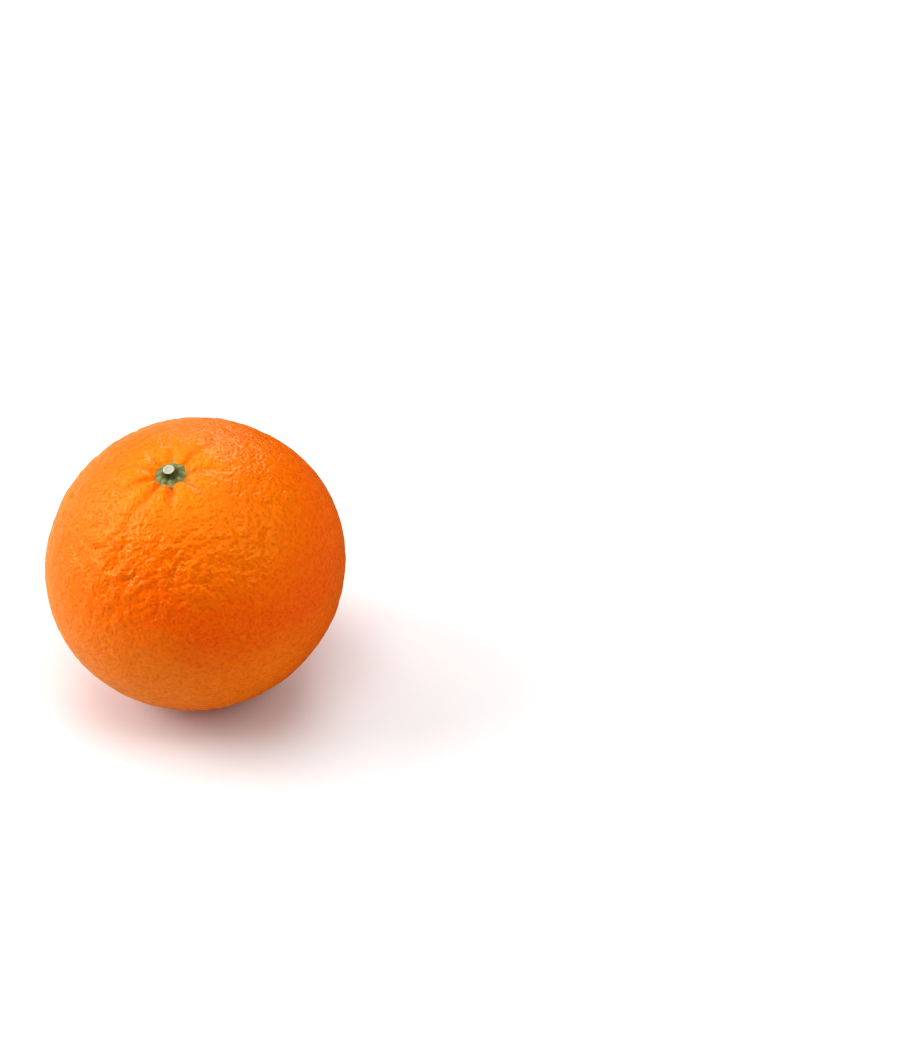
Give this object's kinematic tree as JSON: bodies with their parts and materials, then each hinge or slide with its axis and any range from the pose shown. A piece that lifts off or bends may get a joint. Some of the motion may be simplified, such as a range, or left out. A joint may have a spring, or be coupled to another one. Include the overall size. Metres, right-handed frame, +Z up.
{
  "type": "mandarin",
  "caption": "Whole mandarin with pebbled orange peel, a shallow eye, a green star-shaped calyx and a snipped stem stub; it leans a little and rests on a small flat spot.",
  "frame": {"origin": "centre of the small flat spot under the fruit, on the surface that it rests on", "axes": "+Z up from that surface, -Y the front; the fruit's core leans 10 degrees from +Z, towards the front left (223 degrees counted from +X)"},
  "size_m": [0.0671, 0.0667, 0.0634],
  "materials": {
    "peel": "satin",
    "calyx": "matte",
    "stem": "matte"
  },
  "bodies": {
    "root": {"fruit": "peel", "calyx": "calyx", "stem": "stem"}
  },
  "joints": []
}
